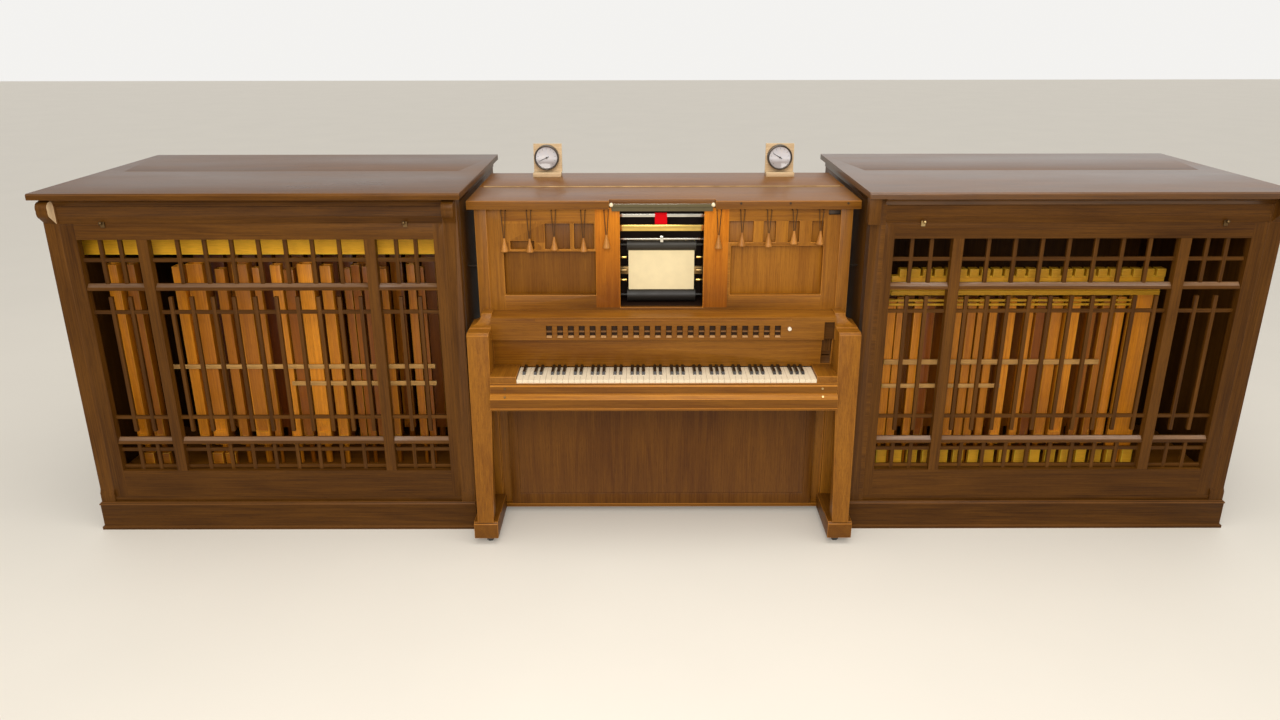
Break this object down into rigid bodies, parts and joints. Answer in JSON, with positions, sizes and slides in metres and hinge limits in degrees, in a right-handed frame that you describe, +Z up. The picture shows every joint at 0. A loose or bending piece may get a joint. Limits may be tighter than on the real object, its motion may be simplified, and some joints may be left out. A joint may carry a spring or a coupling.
{
  "type": "theatre pipe organ",
  "caption": "Keyboard console with a music roll box, flanked by two low wooden pipe cabinets with lattice fronts.",
  "frame": {"origin": "on the floor, in the middle of the footprint over the lids, arms and toes", "axes": "+X along the organ to the right seen from the front, front toward -Y, +Z up"},
  "size_m": [4.954, 1.205, 1.581],
  "materials": {
    "cabinet_wood": "satin varnish",
    "chest_wood": "satin",
    "pipe_wood": "oiled",
    "rack_wood": "oiled",
    "console_wood": "satin varnish",
    "hinge_brass": "polished",
    "box_black": "satin black",
    "bar_brass": "polished",
    "roll_black": "satin black",
    "paper": "matt",
    "tab_plastic": "gloss",
    "key_ivory": "gloss",
    "caster_iron": "worn",
    "pull_wood": "turned",
    "stand_wood": "raw",
    "gauge_metal": "polished",
    "catch_brass": "worn"
  },
  "bodies": {
    "organ": {"left_plinth": "cabinet_wood", "left_end_walls": "cabinet_wood", "left_back_wall": "cabinet_wood", "left_front_frame": "cabinet_wood", "left_lattice": "cabinet_wood", "left_lid": "cabinet_wood", "left_wind_chest": "chest_wood", "left_pipes": "pipe_wood", "left_rack": "rack_wood", "right_plinth": "cabinet_wood", "right_end_walls": "cabinet_wood", "right_back_wall": "cabinet_wood", "right_front_frame": "cabinet_wood", "right_lattice": "cabinet_wood", "right_lid": "cabinet_wood", "right_wind_chest": "chest_wood", "right_pipes": "pipe_wood", "right_rack": "rack_wood", "case_sides": "console_wood", "case_back": "console_wood", "case_floor": "console_wood", "lid_rear": "console_wood", "lid_hinge": "hinge_brass", "upper_frame": "console_wood", "upper_panels": "console_wood", "roll_box": "box_black", "box_bars": "bar_brass", "roll_paper": "paper", "stop_board": "console_wood", "stop_tabs": "tab_plastic", "fallboard": "console_wood", "key_bed": "console_wood", "key_blocks": "console_wood", "keys": "key_ivory", "legs": "console_wood", "toes": "console_wood", "casters": "caster_iron", "lower_panel": "console_wood", "pulls": "pull_wood", "gauge_stands": "stand_wood", "gauges": "gauge_metal", "catches": "catch_brass"},
    "lid_flap": {"lid_flap": "console_wood"},
    "music_roll": {"music_roll": "roll_black"},
    "take_up_spool": {"take_up_spool": "roll_black"}
  },
  "joints": [
    {"name": "lid_flap_hinge", "type": "hinge", "parent": "organ", "child": "lid_flap", "pos_m": [0, -0.0435, 1.438], "axis": [-1, 0, 0], "range_deg": [0, 100]},
    {"name": "music_roll_turn", "type": "hinge", "parent": "organ", "child": "music_roll", "pos_m": [0, -0.2625, 1.234], "axis": [1, 0, 0], "continuous": true},
    {"name": "take_up_turn", "type": "hinge", "parent": "organ", "child": "take_up_spool", "pos_m": [0, -0.2625, 1.017], "axis": [1, 0, 0], "continuous": true}
  ]
}
